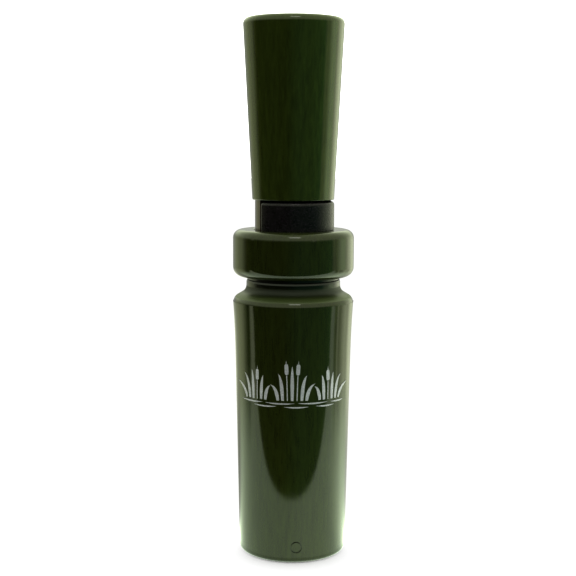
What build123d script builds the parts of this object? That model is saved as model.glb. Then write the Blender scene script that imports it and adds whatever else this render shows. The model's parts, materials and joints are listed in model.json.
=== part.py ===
"""A two-reed duck call in glossy moulded plastic, in millimetres, standing on its mouthpiece.

The barrel is the root. The insert pulls up out of it: an exhaust horn, with a tone board glued into its foot
by a spigot. Two thin reeds lie on the tone board, and a rubber wedge holds their heels down on its stem.
+Z runs from the mouthpiece to the horn's mouth, and -Y is the printed front, above the moulding gate.
The origin is the centre of the mouthpiece's rim.
"""

import os
from math import cos, radians, sin, tan

from build123d import *

# ---------------------------------------------------------------- driving dimensions, in millimetres

# Barrel, outside
RIM_R = 12.97
RIM_ROUND = 1.5
FLARE_HEIGHT = 55.5  # a plain cone below it, opening faster above it
FLARE_R = 14.13
FLARE_SWEEP = 240  # radius of the long curve between the two
SHOULDER_R = 14.63
SHOULDER_TOP = 62.41  # a slope rises from here into the groove
SHOULDER_ROUND = 2.05
GROOVE_FLOOR_R = 11.35  # lanyard groove
GROOVE_BOTTOM = 64.36
GROOVE_TOP = 67.65
GROOVE_ROUND = 1.98
BEVEL_BOTTOM = 66.35  # its upper edge is bevelled
BEVEL_TOP = 66.85
BEVEL_R = 11.2
UNDERCUT_R = 10.95  # a shallow step under the collar
UNDERCUT_BOTTOM = 66.95
UNDERCUT_ROUND = 0.1
COLLAR_R = 14.6
COLLAR_LOW_ROUND = 2.35
COLLAR_TOP_ROUND = 2.0
COLLAR_TOP = 78.92

# Barrel, inside
SOCKET_R = 9.55
SOCKET_FLOOR = 66.4
SOCKET_ROUND = 0.4
BORE_R = 8.7
BORE_BOTTOM = 16.0  # a cone leads from here down to the mouthpiece's bore
MOUTHPIECE_R = 7.5
MOUTHPIECE_DEPTH = 10.0
MOUTHPIECE_ROUND = 0.8

# Ring left by the moulding gate, low on the barrel's front
GATE_HEIGHT = 4.0
GATE_AZIMUTH = 3.9  # degrees from the front, towards +X
GATE_R = 1.4
GATE_RING_WIDTH = 0.24
GATE_DEPTH = 0.3

# Insert: all of it round an axis a little behind the barrel's
FACING = 20.0  # degrees that the sounding face is turned from the front, towards +X
INSERT_OFFSET = 0.3

# Exhaust horn
HORN_BOTTOM = 86.1
HORN_TOP = 129.1
HORN_BOTTOM_R = 9.84
HORN_TOP_R = 12.17
HORN_FOOT_ROUND = 0.25
HORN_RIM_ROUND = 1.5
HORN_MOUTH_R = 9.3
HORN_MOUTH_ROUND = 0.8
HORN_THROAT_R = 5.6  # at the spigot's end
SPIGOT_R = 7.0
SPIGOT_LENGTH = 11.5
SPIGOT_GAP = 0.03  # glue between the spigot and the horn

# Tone board and its stem
STEM_R = 9.2
STEM_BOTTOM = 66.7
SEAT = 1.5  # the flat that the reeds lie on, measured from the barrel's axis
BOARD_R = 7.9
BOARD_TIP = 20.7
BOARD_TIP_ARC = 9.0  # radius of the tip, seen from the front
BOARD_TIP_THICKNESS = 2.6
BOARD_BELLY_END = 50.0  # below it the board's back rises towards the tip
SLOPE_START = 67.4
BOARD_SLOPE = 1.6  # degrees that the sounding face falls away from the reeds
CHANNEL_WIDTH = 5.6
CHANNEL_END = 33.0
CHANNEL_DEPTH = 5.0  # below the seat, at the spigot
CHANNEL_SLOPE = 1.5  # degrees that its floor rises towards the tip
CHANNEL_ROUND = 2.2
EXHAUST_R = 2.45  # the hole that leads from the channel through the spigot

# Reeds and wedge
REED_THICKNESS = 0.25
REED_GAP = 0.03  # between the sounding ends of the two reeds, where they start to bend
REED_SPREAD = 0.25  # degrees that the dimple holds the upper reed up
REED_WIDTH = 14.3
REED_TIP_WIDTH = 12.8
REED_CORNER = 1.4
HEEL_TOP = 85.2
BEND_HEIGHT = 66.9  # the wedge's lower edge
BEND_GAP = 0.05  # between a reed's clamped end and its sounding end
LOWER_TIP = 22.6
UPPER_TIP = 26.6
DIMPLE_HEIGHT = 38.0
DIMPLE_R = 1.0
DIMPLE_DEPTH = 0.1
DIMPLE_TAPER = 40
WEDGE_TOP = 85.75
WEDGE_R = 9.78  # where the rubber stands out of the socket
WEDGE_SOCKET_R = 9.5
WEDGE_BULGE_START = 79.0
WEDGE_SIDE_ROUND = 1.0
WEDGE_TOP_ROUND = 0.9
WEDGE_LEAD = 0.6

# ---------------------------------------------------------------- directions and planes of the insert

UP = Vector(0, 0, 1)
OUT = Vector(sin(radians(FACING)), -cos(radians(FACING)), 0)  # the way that the sounding face looks
ACROSS = Vector(cos(radians(FACING)), sin(radians(FACING)), 0)  # across the reeds
INSERT_AXIS = OUT * -INSERT_OFFSET
BIG = 150  # reaches past everything that it cuts
SPIGOT_TOP = HORN_BOTTOM + SPIGOT_LENGTH
UPPER_SEAT = SEAT + REED_THICKNESS  # the lower reed's top
WEDGE_SEAT = UPPER_SEAT + REED_THICKNESS


def face_plane(lift, height=0.0, tilt=0.0):
    """A plane with x across the reeds and y up them, tilted by lifting its lower end."""
    angle = radians(tilt)
    return Plane(
        origin=OUT * lift + UP * height,
        x_dir=ACROSS,
        z_dir=OUT * cos(angle) + UP * sin(angle),
    )


# The insert's middle plane: x is the distance out from the barrel's axis, and y is the height.
SIDE_PLANE = Plane(origin=(0, 0, 0), x_dir=OUT, z_dir=ACROSS * -1)
INSERT_PROFILE_PLANE = Plane(origin=INSERT_AXIS, x_dir=(1, 0, 0), z_dir=(0, -1, 0))


def closed_outline(corners):
    """A closed outline through (radius or x, height, rounding) corners."""
    points = [(x, y) for x, y, rounding in corners]
    roundings = [rounding for x, y, rounding in corners]
    return FilletPolyline(*points, radius=roundings, close=True)


def clamped_outline():
    """The end of a reed that the wedge holds, drawn upwards from the line where the reed bends."""
    length = HEEL_TOP - BEND_HEIGHT
    return [
        (-REED_WIDTH / 2, BEND_GAP),
        (REED_WIDTH / 2, BEND_GAP),
        (REED_WIDTH / 2, length),
        (-REED_WIDTH / 2, length),
    ]


def sounding_outline(length):
    """The free end of a reed, drawn downwards from the line where the reed bends, with clipped corners."""
    return [
        (-REED_WIDTH / 2, -BEND_GAP),
        (-REED_TIP_WIDTH / 2, REED_CORNER - length),
        (REED_CORNER - REED_TIP_WIDTH / 2, -length),
        (REED_TIP_WIDTH / 2 - REED_CORNER, -length),
        (REED_TIP_WIDTH / 2, REED_CORNER - length),
        (REED_WIDTH / 2, -BEND_GAP),
    ]


# ---------------------------------------------------------------- barrel

with BuildPart() as barrel:
    with BuildSketch(Plane.XZ):
        with BuildLine():
            closed_outline(
                [
                    (MOUTHPIECE_R, 0, MOUTHPIECE_ROUND),
                    (RIM_R, 0, RIM_ROUND),
                    (FLARE_R, FLARE_HEIGHT, FLARE_SWEEP),
                    (SHOULDER_R, SHOULDER_TOP, SHOULDER_ROUND),
                    (GROOVE_FLOOR_R, GROOVE_BOTTOM, GROOVE_ROUND),
                    (GROOVE_FLOOR_R, BEVEL_BOTTOM, UNDERCUT_ROUND),
                    (BEVEL_R, BEVEL_TOP, UNDERCUT_ROUND),
                    (UNDERCUT_R, UNDERCUT_BOTTOM, UNDERCUT_ROUND),
                    (UNDERCUT_R, GROOVE_TOP, UNDERCUT_ROUND),
                    (COLLAR_R, GROOVE_TOP, COLLAR_LOW_ROUND),
                    (COLLAR_R, COLLAR_TOP, COLLAR_TOP_ROUND),
                    (SOCKET_R, COLLAR_TOP, SOCKET_ROUND),
                    (SOCKET_R, SOCKET_FLOOR, 0),
                    (BORE_R, SOCKET_FLOOR, 0),
                    (BORE_R, BORE_BOTTOM, 0),
                    (MOUTHPIECE_R, MOUTHPIECE_DEPTH, 0),
                ]
            )
        make_face()
    revolve(axis=Axis.Z)
    gate_direction = Vector(sin(radians(GATE_AZIMUTH)), -cos(radians(GATE_AZIMUTH)), 0)
    gate_floor = RIM_R + (FLARE_R - RIM_R) * GATE_HEIGHT / FLARE_HEIGHT - GATE_DEPTH
    with BuildSketch(Plane(origin=gate_direction * gate_floor + UP * GATE_HEIGHT, z_dir=gate_direction)):
        Circle(GATE_R)
        Circle(GATE_R - GATE_RING_WIDTH, mode=Mode.SUBTRACT)
    extrude(amount=1, mode=Mode.SUBTRACT)

# ---------------------------------------------------------------- exhaust horn

with BuildPart() as exhaust_horn:
    with BuildSketch(INSERT_PROFILE_PLANE):
        with BuildLine():
            closed_outline(
                [
                    (SPIGOT_R + SPIGOT_GAP, HORN_BOTTOM, 0),
                    (HORN_BOTTOM_R, HORN_BOTTOM, HORN_FOOT_ROUND),
                    (HORN_TOP_R, HORN_TOP, HORN_RIM_ROUND),
                    (HORN_MOUTH_R, HORN_TOP, HORN_MOUTH_ROUND),
                    (HORN_THROAT_R, SPIGOT_TOP, 0),
                    (SPIGOT_R + SPIGOT_GAP, SPIGOT_TOP, 0),
                ]
            )
        make_face()
    revolve(axis=Axis(INSERT_AXIS, UP))

# ---------------------------------------------------------------- tone board

with BuildPart() as channel_tool:
    channel_top = HORN_BOTTOM + 0.5
    channel_length = channel_top - CHANNEL_END - CHANNEL_WIDTH / 2
    with BuildSketch(face_plane(SEAT - CHANNEL_DEPTH, channel_top, CHANNEL_SLOPE)):
        with Locations((0, -channel_length / 2)):
            Rectangle(CHANNEL_WIDTH, channel_length)
        with Locations((0, -channel_length)):
            Circle(CHANNEL_WIDTH / 2)
    extrude(amount=CHANNEL_DEPTH + 2)
    channel_floor = channel_tool.faces().sort_by(Axis((0, 0, 0), OUT))[0]
    fillet(channel_floor.edges().sort_by(Axis.Z)[:-1], CHANNEL_ROUND)
    split(bisect_by=Plane.XY.offset(HORN_BOTTOM), keep=Keep.BOTTOM)

with BuildPart() as tone_board:
    with BuildSketch(INSERT_PROFILE_PLANE):
        with BuildLine():
            closed_outline(
                [
                    (0, BOARD_TIP, 0),
                    (BOARD_R, BOARD_TIP, 0),
                    (BOARD_R, STEM_BOTTOM, 0),
                    (STEM_R, STEM_BOTTOM, 0),
                    (STEM_R, HORN_BOTTOM, 0),
                    (SPIGOT_R, HORN_BOTTOM, 0),
                    (SPIGOT_R, SPIGOT_TOP, 0),
                    (0, SPIGOT_TOP, 0),
                ]
            )
        make_face()
    revolve(axis=Axis(INSERT_AXIS, UP))

    # The flat seat, the sounding face that falls away from it, and the back that rises to the tip
    tip_face = SEAT - (SLOPE_START - BOARD_TIP) * tan(radians(BOARD_SLOPE))
    with BuildSketch(SIDE_PLANE):
        Polygon(
            (SEAT, HORN_BOTTOM),
            (SEAT, SLOPE_START),
            (tip_face, BOARD_TIP),
            (tip_face, 0),
            (BIG, 0),
            (BIG, HORN_BOTTOM),
            align=None,
        )
        Polygon(
            (-BOARD_R - INSERT_OFFSET, BOARD_BELLY_END),
            (tip_face - BOARD_TIP_THICKNESS, BOARD_TIP),
            (tip_face - BOARD_TIP_THICKNESS, 0),
            (-BIG, 0),
            (-BIG, BOARD_BELLY_END),
            align=None,
        )
    extrude(amount=BIG, both=True, mode=Mode.SUBTRACT)

    # The tip, rounded as seen from the front
    with BuildSketch(face_plane(0, BOARD_TIP + BOARD_TIP_ARC)):
        Circle(BOARD_TIP_ARC)
        with Locations((0, BIG / 2)):
            Rectangle(BIG, BIG)
    extrude(amount=BIG, both=True, mode=Mode.INTERSECT)

    add(channel_tool.part, mode=Mode.SUBTRACT)

    # The hole from the channel through the spigot
    with BuildSketch(Plane(origin=OUT * (SEAT - CHANNEL_DEPTH / 2) + UP * SPIGOT_TOP, z_dir=UP)):
        Circle(EXHAUST_R)
    extrude(amount=HORN_BOTTOM - SPIGOT_TOP - EXHAUST_R, mode=Mode.SUBTRACT)

# ---------------------------------------------------------------- reeds

with BuildPart() as lower_reed_heel:
    with BuildSketch(face_plane(SEAT, BEND_HEIGHT)):
        Polygon(*clamped_outline(), align=None)
    extrude(amount=REED_THICKNESS)

with BuildPart() as upper_reed_heel:
    with BuildSketch(face_plane(UPPER_SEAT, BEND_HEIGHT)):
        Polygon(*clamped_outline(), align=None)
    extrude(amount=REED_THICKNESS)

with BuildPart() as lower_reed_blade:
    with BuildSketch(face_plane(SEAT, BEND_HEIGHT)):
        Polygon(*sounding_outline(BEND_HEIGHT - LOWER_TIP), align=None)
    extrude(amount=REED_THICKNESS)

with BuildPart() as upper_reed_blade:
    blade_plane = face_plane(UPPER_SEAT + REED_GAP, BEND_HEIGHT, REED_SPREAD)
    with BuildSketch(blade_plane):
        Polygon(*sounding_outline(BEND_HEIGHT - UPPER_TIP), align=None)
    extrude(amount=REED_THICKNESS)
    for lift, mode in ((0, Mode.ADD), (REED_THICKNESS, Mode.SUBTRACT)):
        with BuildSketch(blade_plane.offset(lift)):
            with Locations((0, DIMPLE_HEIGHT - BEND_HEIGHT)):
                Circle(DIMPLE_R)
        extrude(amount=-DIMPLE_DEPTH, taper=DIMPLE_TAPER, mode=mode)

# ---------------------------------------------------------------- wedge

with BuildPart() as wedge:
    for radius, bottom, top in (
        (WEDGE_SOCKET_R, BEND_HEIGHT, WEDGE_BULGE_START),
        (WEDGE_R, WEDGE_BULGE_START, WEDGE_TOP),
    ):
        with BuildSketch(Plane(origin=UP * bottom, x_dir=ACROSS, z_dir=UP)):
            Circle(radius)
            with Locations((0, BIG / 2 - WEDGE_SEAT)):
                Rectangle(BIG, BIG, mode=Mode.SUBTRACT)
            fillet(vertices(), WEDGE_SIDE_ROUND)
        extrude(amount=top - bottom)
    fillet(wedge.faces().sort_by(Axis.Z)[-1].edges(), WEDGE_TOP_ROUND)
    chamfer(wedge.faces().sort_by(Axis.Z)[0].edges().sort_by(Axis(Vector(0, 0, 0), OUT))[-1], WEDGE_LEAD)

# ---------------------------------------------------------------- export

os.makedirs("parts", exist_ok=True)
pieces = {
    "barrel": barrel,
    "exhaust_horn": exhaust_horn,
    "tone_board": tone_board,
    "wedge": wedge,
    "upper_reed_heel": upper_reed_heel,
    "upper_reed_blade": upper_reed_blade,
    "lower_reed_heel": lower_reed_heel,
    "lower_reed_blade": lower_reed_blade,
}
for name, piece in pieces.items():
    piece.part.label = name
    export_step(piece.part, f"parts/{name}.step")
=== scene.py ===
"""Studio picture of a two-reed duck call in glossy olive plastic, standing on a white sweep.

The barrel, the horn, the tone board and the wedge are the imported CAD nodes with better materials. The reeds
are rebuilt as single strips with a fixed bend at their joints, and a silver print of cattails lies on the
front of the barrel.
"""

import json
import math
import random

import bmesh
import bpy
from mathutils import Matrix, Vector
from mathutils.bvhtree import BVHTree

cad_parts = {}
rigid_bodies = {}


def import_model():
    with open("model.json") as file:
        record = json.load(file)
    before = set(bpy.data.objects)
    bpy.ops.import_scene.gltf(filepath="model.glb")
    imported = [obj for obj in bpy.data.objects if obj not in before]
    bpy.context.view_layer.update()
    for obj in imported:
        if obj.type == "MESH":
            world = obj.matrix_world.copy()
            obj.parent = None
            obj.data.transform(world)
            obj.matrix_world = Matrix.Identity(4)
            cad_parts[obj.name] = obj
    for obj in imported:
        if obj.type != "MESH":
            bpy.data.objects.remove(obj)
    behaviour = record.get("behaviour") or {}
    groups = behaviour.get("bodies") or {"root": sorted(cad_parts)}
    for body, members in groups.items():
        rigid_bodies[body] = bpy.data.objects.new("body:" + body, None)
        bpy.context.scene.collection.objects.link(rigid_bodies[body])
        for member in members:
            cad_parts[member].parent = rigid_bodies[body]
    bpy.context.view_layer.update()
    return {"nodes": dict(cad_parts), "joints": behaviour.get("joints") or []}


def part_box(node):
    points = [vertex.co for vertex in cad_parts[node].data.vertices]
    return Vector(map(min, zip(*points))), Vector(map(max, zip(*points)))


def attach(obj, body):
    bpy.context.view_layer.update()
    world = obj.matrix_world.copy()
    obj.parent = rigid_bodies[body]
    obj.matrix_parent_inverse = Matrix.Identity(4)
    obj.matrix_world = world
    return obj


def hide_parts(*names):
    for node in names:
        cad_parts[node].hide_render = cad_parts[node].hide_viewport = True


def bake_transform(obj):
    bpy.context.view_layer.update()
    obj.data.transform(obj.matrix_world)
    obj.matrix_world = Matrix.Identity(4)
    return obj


for leftover in list(bpy.data.objects):
    bpy.data.objects.remove(leftover)
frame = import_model()

MM = 0.001
UP = Vector((0, 0, 1))
JOINTS = {joint["name"]: joint for joint in frame["joints"]}

# ---------------------------------------------------------------- camera

CAMERA_DISTANCE = 303.6 * MM  # from the call's axis
CAMERA_HEIGHT = 100.3 * MM
CAMERA_PITCH = 6.7  # degrees down
CAMERA_LENS = 78.75  # focal length in millimetres
CAMERA_SENSOR = 36  # its width in millimetres
CAMERA_ASIDE = -1.27 * MM
CAMERA_ROLL = 0.22  # degrees

# ---------------------------------------------------------------- node helpers


class Nodes:
    """A short way to add and join shader nodes in one tree."""

    def __init__(self, tree):
        self.tree = tree
        self.tree.nodes.clear()

    def add(self, kind, inputs=None, **settings):
        """A node of that kind. Inputs are plain values or the output sockets that feed them."""
        node = self.tree.nodes.new(kind)
        for name, value in settings.items():
            setattr(node, name, value)
        for key, value in (inputs or {}).items():
            if isinstance(value, bpy.types.NodeSocket):
                self.tree.links.new(value, node.inputs[key])
            else:
                node.inputs[key].default_value = value
        return node

    def math(self, operation, first, second=0.0, third=0.0):
        """The result of a Math node."""
        return self.add("ShaderNodeMath", {0: first, 1: second, 2: third}, operation=operation).outputs[0]

    def ramp(self, factor, stops):
        """A colour ramp through (position, colour) stops."""
        node = self.add("ShaderNodeValToRGB", {"Fac": factor})
        elements = node.color_ramp.elements
        while len(elements) < len(stops):
            elements.new(1.0)
        for element, (position, colour) in zip(elements, stops):
            element.position = position
            element.color = colour
        return node.outputs["Color"]

    def noise(self, scale, detail=2.0, roughness=0.5, stretch=(1, 1, 1)):
        """Noise in the object's own space, with scale in features per metre."""
        place = self.add("ShaderNodeTexCoord").outputs["Object"]
        mapped = self.add("ShaderNodeMapping", {"Vector": place, "Scale": stretch}).outputs["Vector"]
        inputs = {"Vector": mapped, "Scale": scale, "Detail": detail, "Roughness": roughness}
        return self.add("ShaderNodeTexNoise", inputs).outputs["Fac"]

    def mix(self, factor, first, second):
        """The first colour where the factor is 0 and the second where it is 1."""
        return self.add("ShaderNodeMix", {0: factor, 6: first, 7: second}, data_type="RGBA").outputs[2]

    def bump(self, height, distance, normal=None):
        """A bump of that many metres."""
        inputs = {"Height": height, "Distance": distance, "Strength": 1.0}
        if normal is not None:
            inputs["Normal"] = normal
        return self.add("ShaderNodeBump", inputs).outputs["Normal"]


def grey(value):
    """An opaque grey."""
    return (value, value, value, 1.0)


def new_material(name):
    """An empty node material and the helper for its tree."""
    material = bpy.data.materials.new(name)
    material.use_nodes = True
    return material, Nodes(material.node_tree)


def surface(nodes, **inputs):
    """The Principled shader and the material's output."""
    named = {key.replace("_", " "): value for key, value in inputs.items()}
    shader = nodes.add("ShaderNodeBsdfPrincipled", named)
    nodes.add("ShaderNodeOutputMaterial", {"Surface": shader.outputs[0]})


def paint(thing, material):
    """Gives every material slot of an object that material."""
    if not thing.data.materials:
        thing.data.materials.append(material)
    for index in range(len(thing.data.materials)):
        thing.data.materials[index] = material


# ---------------------------------------------------------------- materials

OLIVE_DARK = (0.0136, 0.0170, 0.0023, 1.0)
OLIVE_LIGHT = (0.0245, 0.0320, 0.0055, 1.0)
# The horn's olive is lighter than the barrel's: painted light, for the stronger light from above on the
# call's upper part.
HORN_LIT_DARK = (0.0198, 0.0270, 0.0031, 1.0)
HORN_LIT_LIGHT = (0.0355, 0.0490, 0.0073, 1.0)
# The lanyard groove, from below: a slope painted paler for the light from above, with a satin finish, then
# painted shade in its corner and painted shade on its floor under the collar. Each has the heights between
# which it fades in and out, in millimetres, its colour and its roughness.
GROOVE_LIGHT_AND_SHADE = [
    ((62.4, 62.8, 63.2, 64.4), (0.0420, 0.0560, 0.0160, 1.0), 0.42),
    ((63.2, 64.4, 65.2, 66.0), (0.0120, 0.0170, 0.0045, 1.0), 0.5),
    ((65.2, 66.0, 67.6, 67.9), (0.0060, 0.0090, 0.0030, 1.0), 0.18),
]
BOARD_DARK = (0.0230, 0.0125, 0.0058, 1.0)
BOARD_LIGHT = (0.0320, 0.0180, 0.0090, 1.0)
RUBBER_DARK = (0.0010, 0.0009, 0.0009, 1.0)
RUBBER_LIGHT = (0.0520, 0.0360, 0.0520, 1.0)
INK_DARK = (0.155, 0.152, 0.162, 1.0)
INK_MID = (0.28, 0.273, 0.292, 1.0)
INK_LIGHT = (0.43, 0.423, 0.45, 1.0)
FILM_DARK = (0.70, 0.73, 0.70, 1.0)
FILM_LIGHT = (0.84, 0.86, 0.82, 1.0)

PLASTIC_IOR = 1.5
PLASTIC_ROUGHNESS = (0.07, 0.095, 0.16)  # from untouched to handled
RUBBER_IOR = 1.4
RUBBER_ROUGHNESS = (0.24, 0.34)
INK_IOR = 1.45
INK_ROUGHNESS = 0.5
INK_METAL = 0.25
FILM_IOR = 1.6
FILM_ROUGHNESS = (0.24, 0.4)
FILM_CLARITY = 0.45  # the share of the light that goes into the film and through it

# The patterns in the materials, in features per metre, and how deep those are that show as bumps.
STREAKS = 1100
HANDLING = 420
ORANGE_PEEL = 380
PEEL_DEPTH = 0.003 * MM
MOULD_GRAIN = 5200
GRAIN_DEPTH = 0.0012 * MM
DUST = 3400
WEAR = 900
PEBBLES = 2600
PEBBLE_DEPTH = 0.05 * MM
INK_SPECKS = 5600
INK_SKIN = 4200
INK_SKIN_DEPTH = 0.008 * MM
SCRATCHES = 900
SCRATCH_DEPTH = 0.004 * MM


def height_band(nodes, heights):
    """1 between the two middle heights of the object, in millimetres, and 0 outside the two outer ones."""
    place = nodes.add("ShaderNodeTexCoord").outputs["Object"]
    height = nodes.add("ShaderNodeSeparateXYZ", {"Vector": place}).outputs["Z"]
    start, full, drop, end = (value * MM for value in heights)
    return nodes.math("MULTIPLY", fade(nodes, height, (start, full)), fade(nodes, height, (end, drop)))


def moulded_plastic(name, dark, light, light_and_shade_bands=()):
    """Glossy plastic with faint colour streaks along the flow of the moulding and a soft orange peel.

    Each of the painted stretches has its own heights, a colour of painted light or shade, and roughness.
    """
    material, nodes = new_material(name)
    streaks = nodes.noise(STREAKS, detail=6, roughness=0.75, stretch=(1, 1, 0.14))
    colour = nodes.ramp(streaks, [(0.32, dark), (0.68, light)])
    handling = nodes.noise(HANDLING, detail=6, roughness=0.65)
    clean, touched, rubbed = (grey(value) for value in PLASTIC_ROUGHNESS)
    roughness = nodes.ramp(handling, [(0.35, clean), (0.62, touched), (0.8, rubbed)])
    # Each of these paints light or shade into the colour between its heights, and sets the roughness there.
    for heights, painted_colour, band_roughness in light_and_shade_bands:
        painted_band = height_band(nodes, heights)
        colour = nodes.mix(painted_band, colour, painted_colour)
        roughness = nodes.mix(painted_band, roughness, grey(band_roughness))
    peel = nodes.bump(nodes.noise(ORANGE_PEEL, detail=1.0), PEEL_DEPTH)
    grain = nodes.bump(nodes.noise(MOULD_GRAIN), GRAIN_DEPTH, peel)
    surface(nodes, Base_Color=colour, Roughness=roughness, IOR=PLASTIC_IOR, Normal=grain)
    return material


def black_rubber():
    """Satin black rubber with a fine pebbled skin and dusty specks."""
    material, nodes = new_material("black_rubber")
    specks = nodes.noise(DUST, detail=4, roughness=0.8)
    colour = nodes.ramp(specks, [(0.52, RUBBER_DARK), (0.68, RUBBER_LIGHT)])
    smooth, worn = (grey(value) for value in RUBBER_ROUGHNESS)
    roughness = nodes.ramp(nodes.noise(WEAR, detail=3), [(0.3, smooth), (0.7, worn)])
    pebbles = nodes.bump(nodes.noise(PEBBLES, detail=3, roughness=0.6), PEBBLE_DEPTH)
    surface(nodes, Base_Color=colour, Roughness=roughness, IOR=RUBBER_IOR, Normal=pebbles)
    return material


def silver_ink():
    """Matt silver pad-print ink, speckled where it is thin."""
    material, nodes = new_material("silver_ink")
    specks = nodes.noise(INK_SPECKS, detail=5, roughness=0.75)
    colour = nodes.ramp(specks, [(0.33, INK_DARK), (0.5, INK_MID), (0.68, INK_LIGHT)])
    skin = nodes.bump(nodes.noise(INK_SKIN, detail=3), INK_SKIN_DEPTH)
    surface(
        nodes, Base_Color=colour, Roughness=INK_ROUGHNESS, IOR=INK_IOR, Metallic=INK_METAL, Normal=skin
    )
    return material


def reed_film():
    """Milky polyester film, slightly see-through, with fine lengthwise scratches."""
    material, nodes = new_material("reed_film")
    scratches = nodes.noise(SCRATCHES, detail=5, roughness=0.7, stretch=(6, 6, 0.25))
    colour = nodes.ramp(scratches, [(0.3, FILM_DARK), (0.7, FILM_LIGHT)])
    smooth, rough = (grey(value) for value in FILM_ROUGHNESS)
    roughness = nodes.ramp(scratches, [(0.3, smooth), (0.7, rough)])
    hairlines = nodes.bump(scratches, SCRATCH_DEPTH)
    surface(
        nodes, Base_Color=colour, Roughness=roughness, IOR=FILM_IOR, Transmission_Weight=FILM_CLARITY,
        Normal=hairlines,
    )
    return material


# ---------------------------------------------------------------- reeds

REED_THICKNESS = 0.25 * MM
REED_WIDTH = 14.3 * MM
REED_TIP_WIDTH = 12.8 * MM
REED_CORNER = 1.4 * MM  # clipped off each side of the tip
REED_STEP = 0.4 * MM  # between the rows of its mesh
REED_COLUMNS = 36
BEND_REACH = 2 * MM  # above and below the wedge's edge, where the strip bends
DIMPLE_HEIGHT = 38 * MM
DIMPLE_R = 1.0 * MM
DIMPLE_DEPTH = 0.1 * MM


def solid_from_grids(name, front, back):
    """A closed mesh between two equal grids of points, each a list of rows."""
    rows, columns = len(front), len(front[0])
    points = [point for grid in (front, back) for row in grid for point in row]

    def corner(side, row, column):
        return (side * rows + row) * columns + column

    faces = []
    for row in range(rows - 1):
        for column in range(columns - 1):
            for side in (0, 1):
                loop = [corner(side, row + dr, column + dc) for dr, dc in ((0, 0), (0, 1), (1, 1), (1, 0))]
                faces.append(loop if side else loop[::-1])
    rim = [(0, column) for column in range(columns - 1)]
    rim += [(row, columns - 1) for row in range(rows - 1)]
    rim += [(rows - 1, column) for column in range(columns - 1, 0, -1)]
    rim += [(row, 0) for row in range(rows - 1, 0, -1)]
    for here, there in zip(rim, rim[1:] + rim[:1]):
        faces.append([corner(0, *here), corner(0, *there), corner(1, *there), corner(1, *here)])
    mesh = bpy.data.meshes.new(name)
    mesh.from_pydata(points, [], faces)
    return mesh


def add_piece(name, mesh, material):
    """An object with that mesh, facing outwards, in that finish."""
    shape = bmesh.new()
    shape.from_mesh(mesh)
    bmesh.ops.recalc_face_normals(shape, faces=shape.faces)
    shape.to_mesh(mesh)
    shape.free()
    piece = bpy.data.objects.new(name, mesh)
    bpy.context.scene.collection.objects.link(piece)
    paint(piece, material)
    return piece


def smooth_step(value):
    """0 below 0, 1 above 1, and a smooth rise between."""
    held = min(max(value, 0.0), 1.0)
    return held * held * (3 - 2 * held)


def reed_half_width(z, tip, hinge_height):
    """Half the strip's width at a height: tapering below its hinge, with clipped corners at its tip."""
    below = max(hinge_height - z, 0.0)
    half = (REED_WIDTH + (REED_TIP_WIDTH - REED_WIDTH) * below / (hinge_height - tip - REED_CORNER)) / 2
    if z < tip + REED_CORNER:
        half = min(half, REED_TIP_WIDTH / 2 + z - tip - REED_CORNER)
    return half


def dimple_press(x, z):
    """How far the dimple presses the film in at a place of the strip."""
    away = math.hypot(x, z - DIMPLE_HEIGHT) / DIMPLE_R
    return DIMPLE_DEPTH * (1 - smooth_step(away))


def reed(name, joint_name, dimpled, material):
    """One strip of film from its heel under the wedge to its free tip, shaped with a fixed bend at its joint.
    """
    joint = JOINTS[joint_name]
    across = Vector(joint["axis"]).normalized()
    out = across.cross(UP)
    hinge = Vector(joint["pos_m"])
    hinge_lift = hinge.dot(out)
    heel_low, heel_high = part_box(name + "_heel")
    top, tip = heel_high.z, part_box(name + "_blade")[0].z
    heel_lift = (heel_low + heel_high).dot(out) / 2
    tip_lift = blade_middle_lift(name + "_blade", out, tip)
    count = round((top - tip) / REED_STEP)
    front, back = [], []
    for row in range(count + 1):
        z = top + (tip - top) * row / count
        half = reed_half_width(z, tip, hinge.z)
        freed = max(hinge.z - z, 0.0) / (hinge.z - tip)
        bent = smooth_step((hinge.z + BEND_REACH - z) / (2 * BEND_REACH))
        lift = heel_lift + (hinge_lift - heel_lift + (tip_lift - hinge_lift) * freed) * bent
        for grid, side in ((front, 0.5), (back, -0.5)):
            grid.append([])
            for column in range(REED_COLUMNS + 1):
                x = half * (2 * column / REED_COLUMNS - 1)
                press = dimple_press(x, z) if dimpled else 0.0
                grid[-1].append(across * x + out * (lift + side * REED_THICKNESS - press) + UP * z)
    strip = add_piece(name, solid_from_grids(name, front, back), material)
    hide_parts(name + "_heel", name + "_blade")
    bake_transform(strip)


def blade_middle_lift(node, out, tip):
    """How far out the middle of a blade's thickness is at its tip."""
    lifts = [v.co.dot(out) for v in frame["nodes"][node].data.vertices if v.co.z < tip + REED_THICKNESS]
    return (min(lifts) + max(lifts)) / 2


# ---------------------------------------------------------------- print

PRINT_HEIGHT = 39.6 * MM  # of the water line
PRINT_AZIMUTH = 0.0  # of its middle, in degrees from the front towards +X
INK_THICKNESS = 0.02 * MM
INK_LIFT = 0.012 * MM  # of its underside off the barrel
INK_LAYER = 0.0015 * MM  # each stroke lies this much higher than the last
STROKE_STEPS = 28
STROKE_COLUMNS = 4

# Clumps on the water line, in millimetres: middle, leaves (l) and cattails (c) in a row, how far the row's
# two ends lean out, and height.
CLUMPS = [
    (-10.2, "lllcll", 4.6, 1.5, 6.9),
    (-0.2, "llclcll", 2.0, 2.3, 8.3),
    (9.9, "llclll", 1.5, 4.2, 7.2),
]
SPACING = 1.2
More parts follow.
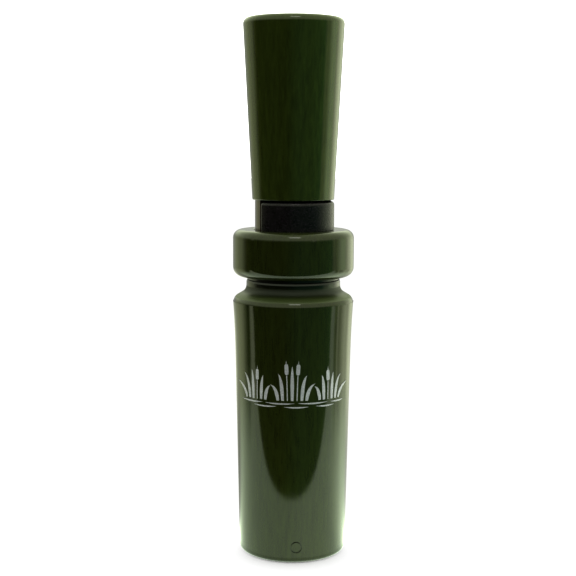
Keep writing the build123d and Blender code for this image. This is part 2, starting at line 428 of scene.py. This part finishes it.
# Ripples: middle along the water, depth below the water line, length.
RIPPLES = [
    (-11.6, 0.55, 7.4), (-3.4, 0.6, 7.6), (5.2, 0.55, 8.0), (12.6, 0.6, 5.0),
    (-7.4, 1.35, 6.4), (0.8, 1.45, 6.2), (8.6, 1.35, 5.6),
]
LEAF_WIDTH = 0.92
LEAF_FOOT = 0.78  # the share of its width that a leaf has at its foot
LEAF_TAPER = 0.3  # the share of its length after which it narrows to its point
LEAF_BEND = (0.18, 0.86)  # how far out and up a leaf's bend is, against its tip
END_LEAF_DROP = 0.5  # how much lower the leaves are at the ends of a row
CATTAIL_HEIGHT = 1.12  # against the leaves round it
CATTAIL_LEAN = 0.5
STALK_WIDTH = 0.3
HEAD_WIDTH = 1.0
HEAD_LENGTH = 2.7
SPIKE_LENGTH = 0.85
GAP_BELOW_HEAD = 0.12
GAP_ABOVE_HEAD = 0.08
RIPPLE_WIDTH = 0.4
THINNEST = 0.04  # so that a stroke's point still has a width


def bezier(points, t):
    """A point on the quadratic curve through three control points."""
    first, middle, last = (Vector(point) for point in points)
    return first * (1 - t) ** 2 + middle * 2 * t * (1 - t) + last * t ** 2


def leaf_width(t):
    """A leaf: a little narrower at its foot, then full, then a long point."""
    narrowing = max(0.0, (t - LEAF_TAPER) / (1 - LEAF_TAPER)) ** 1.5
    return LEAF_WIDTH * min(1.0, LEAF_FOOT + t) * (1 - narrowing)


def stalk_width(t):
    """A stalk, even all along."""
    return STALK_WIDTH


def head_width(t):
    """A cattail's head, round at both ends."""
    return HEAD_WIDTH * math.sqrt(max(0.0, 1 - (2 * t - 1) ** 6))


def spike_width(t):
    """The spike on a cattail's head, running out to a point."""
    return STALK_WIDTH * (1 - t)


def ripple_width(t):
    """A ripple, pointed at both ends."""
    return RIPPLE_WIDTH * math.sin(math.pi * t) ** 0.7


def leaf(foot, fan, reach, height):
    """One leaf, arching out further the nearer it stands to the end of its row."""
    tip = foot + reach * fan * abs(fan) ** 0.4
    top = height * (1 - END_LEAF_DROP * abs(fan) ** 2.2)
    bend_out, bend_up = LEAF_BEND
    yield ((foot, 0), (foot + bend_out * (tip - foot), top * bend_up), (tip, top)), leaf_width


def cattail(foot, fan, reach, height):
    """One cattail: stalk, head and spike, leaning out a little."""
    top = height * CATTAIL_HEIGHT
    neck = top - HEAD_LENGTH - SPIKE_LENGTH
    lean = reach * fan * CATTAIL_LEAN

    def place(up):
        return foot + lean * (up / top) ** 1.5, up

    head_top = neck + HEAD_LENGTH
    yield (place(0), place(neck / 2), place(neck - GAP_BELOW_HEAD)), stalk_width
    yield (place(neck), place(neck + HEAD_LENGTH / 2), place(head_top)), head_width
    spike_foot = head_top + GAP_ABOVE_HEAD
    yield (place(spike_foot), place(head_top + SPIKE_LENGTH / 2), place(top)), spike_width


def strokes():
    """Every stroke of the print: its three control points and its width along it, in millimetres."""
    chance = random.Random(5)
    for middle, row, left_reach, right_reach, height in CLUMPS:
        for number, kind in enumerate(row):
            fan = 2 * number / (len(row) - 1) - 1
            foot = middle + SPACING * (number - (len(row) - 1) / 2)
            reach = left_reach if fan < 0 else right_reach
            draw = leaf if kind == "l" else cattail
            yield from draw(foot, fan, reach, height * chance.uniform(0.9, 1.05))
    for middle, depth, length in RIPPLES:
        sag = depth + 0.3
        ends = ((middle - length / 2, -depth), (middle, -sag), (middle + length / 2, -depth))
        yield ends, ripple_width


def barrel_caster():
    """A function that drops a place of the print, in millimetres, onto the barrel, lifted off it."""
    tree = BVHTree.FromObject(frame["nodes"]["barrel"], bpy.context.evaluated_depsgraph_get())
    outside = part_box("barrel")[1].x
    middle = math.radians(PRINT_AZIMUTH)

    def drop(place, lift):
        turn = middle + place[0] * MM / outside
        away = Vector((math.sin(turn), -math.cos(turn), 0))
        start = away * 2 * outside + UP * (PRINT_HEIGHT + place[1] * MM)
        return tree.ray_cast(start, -away)[0] + away * lift

    return drop


def make_print():
    """Cattails in rippled water, in silver ink on the barrel's front."""
    drop = barrel_caster()
    shape = bmesh.new()
    for number, (curve, width) in enumerate(strokes()):
        under = INK_LIFT + number * INK_LAYER
        grids = ([], [])
        for step in range(STROKE_STEPS + 1):
            t = step / STROKE_STEPS
            place = bezier(curve, t)
            along = (bezier(curve, t + 0.01) - bezier(curve, t - 0.01)).normalized()
            side = Vector((-along.y, along.x)) * max(width(t), THINNEST) / 2
            shares = [2 * column / STROKE_COLUMNS - 1 for column in range(STROKE_COLUMNS + 1)]
            for grid, lift in zip(grids, (under + INK_THICKNESS, under)):
                grid.append([drop(place + side * share, lift) for share in shares])
        stroke = solid_from_grids("stroke", *grids)
        shape.from_mesh(stroke)
        bpy.data.meshes.remove(stroke)
    mesh = bpy.data.meshes.new("cattail_print")
    shape.to_mesh(mesh)
    shape.free()
    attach(add_piece("cattail_print", mesh, silver_ink()), "barrel")


# ---------------------------------------------------------------- studio

FLOOR_SIZE = 6.0
TABLE_EDGE = (-64 * MM, -58 * MM)  # the lit table ends between these, in front of the call
EDGE_SLANT = 0.075  # metres that this edge comes nearer for each metre to the left
TABLE_END = (330 * MM, 480 * MM)  # it fades out between these round the call
TABLE_NEAR = (60 * MM, 260 * MM)  # from its colours close to the call to its colours far off
TABLE_CONTACT = (12.0 * MM, 17.0 * MM)  # the call's own shadow on it, in reflections
CONTACT_LIGHT = 0.55
SHADOW_SHIFT = 5 * MM  # the floor's shadow lies in front of the call
BURN = (3 * MM, 17 * MM)  # the floor burns out to plain white between these, from the shadow's middle
BURNT = 0.5  # its brightness where it is burnt out, just above the white point
FLOOR_GREY = 0.42  # its matt colour, where the shadow lies
CEILING = (0.97, 1.03, 0.82, 1.0)  # colour above the call, in reflections
CEILING_SPILL = (6.0, 6.0, 6.0, 1.0)  # the same as it lights matt surfaces, before SPILL
SPILL = 0.2  # how much of the light round the call reaches matt surfaces
CEILING_RISE = (0.02, 0.38)  # sines of the elevations where it begins and is full
WHITE_POINT = 0.48  # the brightness that prints as paper white
CONTRAST = 1.5

# Tints of the light, at a brightness of 1.
PAPER = (0.98, 1.0, 0.93)
CREAM = (0.96, 1.0, 0.80)
STRAW = (0.95, 1.0, 0.71)
MINT = (0.88, 1.0, 0.85)
PALE_LIME = (0.89, 1.0, 0.81)
LIME = (0.87, 1.0, 0.72)
LEAF_GREEN = (0.36, 1.0, 0.66)
BROWN = (1.2, 1.0, 0.5)

# What surrounds the call at eye level: degrees from the front towards +X, brightness there, and tint.
SURROUND = [
    (-180, 0.34, PAPER), (-156, 0.39, PAPER), (-145, 0.54, CREAM), (-132, 0.67, STRAW), (-113, 0.71, STRAW),
    (-106, 0.41, STRAW), (-98, 0.1, BROWN), (-90, 0.03, BROWN), (-20, 0.02, BROWN), (-3, 0.07, LEAF_GREEN),
    (12, 0.14, LEAF_GREEN), (45, 0.16, LEAF_GREEN), (66, 0.23, LEAF_GREEN), (76, 0.3, LEAF_GREEN),
    (82, 0.68, LIME), (88, 0.6, LIME), (98, 1.2, LIME), (104, 1.35, LIME), (112, 1.2, LIME),
    (119, 1.05, CREAM), (127, 1.35, CREAM), (141, 1.25, CREAM), (150, 1.0, CREAM), (164, 0.39, PAPER),
    (180, 0.34, PAPER),
]
# The lit table close to the call, in the same way.
TABLE_CLOSE = [
    (-180, 0.43, PAPER), (-145, 0.36, PAPER), (-138, 0.55, PAPER), (-128, 1.15, PALE_LIME),
    (-122, 1.35, PALE_LIME), (-112, 1.45, PALE_LIME), (-60, 1.45, MINT), (-10, 1.4, MINT), (20, 1.6, MINT),
    (70, 1.7, MINT), (98, 2.1, PALE_LIME), (112, 2.05, PALE_LIME), (120, 1.75, PALE_LIME),
    (130, 1.3, PALE_LIME), (141, 0.75, PAPER), (150, 0.57, PAPER), (165, 0.43, PAPER), (180, 0.43, PAPER),
]
# And the table far from it, with a dark gap on each side.
TABLE_FAR = [
    (-180, 0.5, CREAM), (-150, 0.62, CREAM), (-143, 0.6, CREAM), (-132, 0.77, STRAW), (-118, 0.9, STRAW),
    (-112, 0.82, STRAW), (-104, 0.42, STRAW), (-97, 0.05, PAPER), (-93, 0.03, PAPER), (-90, 0.87, CREAM),
    (-86, 1.1, CREAM), (-60, 1.05, CREAM), (60, 1.15, MINT), (84, 1.15, MINT), (87, 0.66, LIME),
    (90, 0.46, LIME), (92, 0.57, LIME), (95, 1.3, CREAM), (99, 0.7, CREAM), (104, 0.87, CREAM),
    (110, 1.2, CREAM), (119, 1.3, CREAM), (128, 1.0, CREAM), (138, 1.25, CREAM), (150, 0.9, CREAM),
    (160, 0.57, CREAM), (168, 0.39, PAPER), (180, 0.5, CREAM),
]

# The lamps: degrees from the front towards +X, degrees up, distance, width and brightness.
FRONT_SOFTBOX = (4, 58, 700 * MM, 200 * MM, 2.2)
SIDE_FILL = (80, 20, 800 * MM, 500 * MM, 0.9)
LAMP_AIM = 60 * MM  # how high on the call's axis they point


def azimuth_share(nodes, x, y):
    """The turn of a direction or place round the call, 0 to 1, with the front in the middle."""
    turn = nodes.math("ARCTAN2", x, nodes.math("MULTIPLY", y, -1.0))
    return nodes.math("MULTIPLY_ADD", turn, 0.5 / math.pi, 0.5)


def share_of(azimuth):
    """The same for an azimuth in degrees."""
    return 0.5 + azimuth / 360


def around(nodes, share, lights):
    """The colour at that turn, from rows of azimuth, brightness and tint."""
    stops = []
    for azimuth, brightness, tint in lights:
        red, green, blue = (brightness * part for part in tint)
        stops.append((share_of(azimuth), (red, green, blue, 1.0)))
    return nodes.ramp(share, stops)


def distance(nodes, x, y):
    """How far a place on the floor is from its middle."""
    return nodes.math("SQRT", nodes.math("ADD", nodes.math("MULTIPLY", x, x), nodes.math("MULTIPLY", y, y)))


def fade(nodes, value, limits):
    """A smooth rise from 0 to 1 between two limits."""
    inputs = {0: value, 1: limits[0], 2: limits[1]}
    return nodes.add("ShaderNodeMapRange", inputs, interpolation_type="SMOOTHSTEP").outputs[0]


def studio_world():
    """To the camera, plain white. To all else, a dim room in front, light beside, and a bright ceiling."""
    world = bpy.data.worlds.new("studio")
    bpy.context.scene.world = world
    world.use_nodes = True
    nodes = Nodes(world.node_tree)
    direction = nodes.add("ShaderNodeTexCoord").outputs["Generated"]
    axes = nodes.add("ShaderNodeSeparateXYZ", {"Vector": direction}).outputs
    eye_level = around(nodes, azimuth_share(nodes, axes["X"], axes["Y"]), SURROUND)
    rays = nodes.add("ShaderNodeLightPath").outputs
    spilt = rays["Is Diffuse Ray"]
    above = nodes.mix(spilt, CEILING, CEILING_SPILL)
    seen = nodes.mix(fade(nodes, axes["Z"], CEILING_RISE), eye_level, above)
    share = nodes.add("ShaderNodeMapRange", {0: spilt, 3: 1.0, 4: SPILL}).outputs[0]
    plain = nodes.add("ShaderNodeBackground", {"Color": grey(1.0), "Strength": 1.0})
    room = nodes.add("ShaderNodeBackground", {"Color": seen, "Strength": share})
    halves = {0: rays["Is Camera Ray"], 1: room.outputs[0], 2: plain.outputs[0]}
    mixed = nodes.add("ShaderNodeMixShader", halves)
    nodes.add("ShaderNodeOutputWorld", {"Surface": mixed.outputs[0]})


def sweep_material():
    """To the camera, matt near the call and burnt out further off. To all else, a glowing lit table."""
    material, nodes = new_material("white_sweep")
    place = nodes.add("ShaderNodeNewGeometry").outputs["Position"]
    axes = nodes.add("ShaderNodeSeparateXYZ", {"Vector": place}).outputs
    x, y = axes["X"], axes["Y"]
    reach = distance(nodes, x, y)
    share = azimuth_share(nodes, x, y)
    leftward = nodes.math("MAXIMUM", nodes.math("MULTIPLY", x, -1.0), 0.0)
    past_edge = nodes.math("MULTIPLY_ADD", leftward, -EDGE_SLANT, y)
    lit = nodes.math("MULTIPLY", fade(nodes, past_edge, TABLE_EDGE), fade(nodes, reach, TABLE_END[::-1]))
    clear = fade(nodes, reach, TABLE_CONTACT)
    contact = nodes.add("ShaderNodeMapRange", {0: clear, 3: CONTACT_LIGHT}).outputs[0]
    near, far = around(nodes, share, TABLE_CLOSE), around(nodes, share, TABLE_FAR)
    table_colour = nodes.mix(fade(nodes, reach, TABLE_NEAR), near, far)
    colour = nodes.mix(lit, around(nodes, share, SURROUND), table_colour)
    table = nodes.add("ShaderNodeEmission", {"Color": colour, "Strength": contact})
    matt = nodes.add("ShaderNodeBsdfDiffuse", {"Color": grey(FLOOR_GREY)})
    glow = nodes.add("ShaderNodeEmission", {"Color": grey(1.0), "Strength": BURNT})
    burnt = fade(nodes, distance(nodes, x, nodes.math("ADD", y, SHADOW_SHIFT)), BURN)
    sweep = nodes.add("ShaderNodeMixShader", {0: burnt, 1: matt.outputs[0], 2: glow.outputs[0]})
    to_camera = nodes.add("ShaderNodeLightPath").outputs["Is Camera Ray"]
    both = nodes.add("ShaderNodeMixShader", {0: to_camera, 1: table.outputs[0], 2: sweep.outputs[0]})
    nodes.add("ShaderNodeOutputMaterial", {"Surface": both.outputs[0]})
    return material


def white_floor():
    """A flat floor under the call."""
    mesh = bpy.data.meshes.new("floor")
    half = FLOOR_SIZE / 2
    corners = [(-half, -half, 0), (half, -half, 0), (half, half, 0), (-half, half, 0)]
    mesh.from_pydata(corners, [], [(0, 1, 2, 3)])
    floor = bpy.data.objects.new("floor", mesh)
    bpy.context.scene.collection.objects.link(floor)
    paint(floor, sweep_material())


def soft_light(name, azimuth, elevation, distance, size, radiance):
    """A square lamp, placed by its direction from the call, as bright as that radiance."""
    data = bpy.data.lights.new(name, "AREA")
    data.size = size
    data.energy = radiance * math.pi * size * size
    light = bpy.data.objects.new(name, data)
    bpy.context.scene.collection.objects.link(light)
    turn, rise = math.radians(azimuth), math.radians(elevation)
    direction = Vector((math.sin(turn), -math.cos(turn), 0)) * math.cos(rise) + UP * math.sin(rise)
    light.location = direction * distance + UP * LAMP_AIM
    light.rotation_euler = (-direction).to_track_quat("-Z", "Y").to_euler()
    return light


def make_studio():
    """The floor, the surroundings and two lamps, one of which isn't seen in reflections."""
    white_floor()
    studio_world()
    soft_light("front_softbox", *FRONT_SOFTBOX)
    fill = soft_light("side_fill", *SIDE_FILL)
    fill.visible_glossy = False


def make_camera():
    """A long lens a little above the call, looking slightly down."""
    data = bpy.data.cameras.new("camera")
    data.lens = CAMERA_LENS
    data.sensor_width = CAMERA_SENSOR
    camera = bpy.data.objects.new("camera", data)
    bpy.context.scene.collection.objects.link(camera)
    look = Matrix.Rotation(math.radians(90 - CAMERA_PITCH), 4, "X")
    roll = Matrix.Rotation(math.radians(CAMERA_ROLL), 4, "Z")
    camera.matrix_world = Matrix.Translation((CAMERA_ASIDE, -CAMERA_DISTANCE, CAMERA_HEIGHT)) @ look @ roll
    bpy.context.scene.camera = camera


def make_tones():
    """A contrasty print of the scene, with everything above the white point burnt out."""
    view = bpy.context.scene.view_settings
    view.view_transform = "Standard"
    view.exposure = -math.log2(WHITE_POINT)
    view.gamma = 1 / CONTRAST


# ---------------------------------------------------------------- scene

make_tones()
make_camera()
make_studio()

# The barrel's groove carries painted light and painted shade.
paint(frame["nodes"]["barrel"], moulded_plastic("barrel_plastic", OLIVE_DARK, OLIVE_LIGHT, GROOVE_LIGHT_AND_SHADE))
# The horn's colour is painted lighter for the light from above.
paint(frame["nodes"]["exhaust_horn"], moulded_plastic("horn_plastic", HORN_LIT_DARK, HORN_LIT_LIGHT))
paint(frame["nodes"]["tone_board"], moulded_plastic("board_plastic", BOARD_DARK, BOARD_LIGHT))
paint(frame["nodes"]["wedge"], black_rubber())
film = reed_film()
reed("upper_reed", "upper_reed_flex", True, film)
reed("lower_reed", "lower_reed_flex", False, film)
make_print()
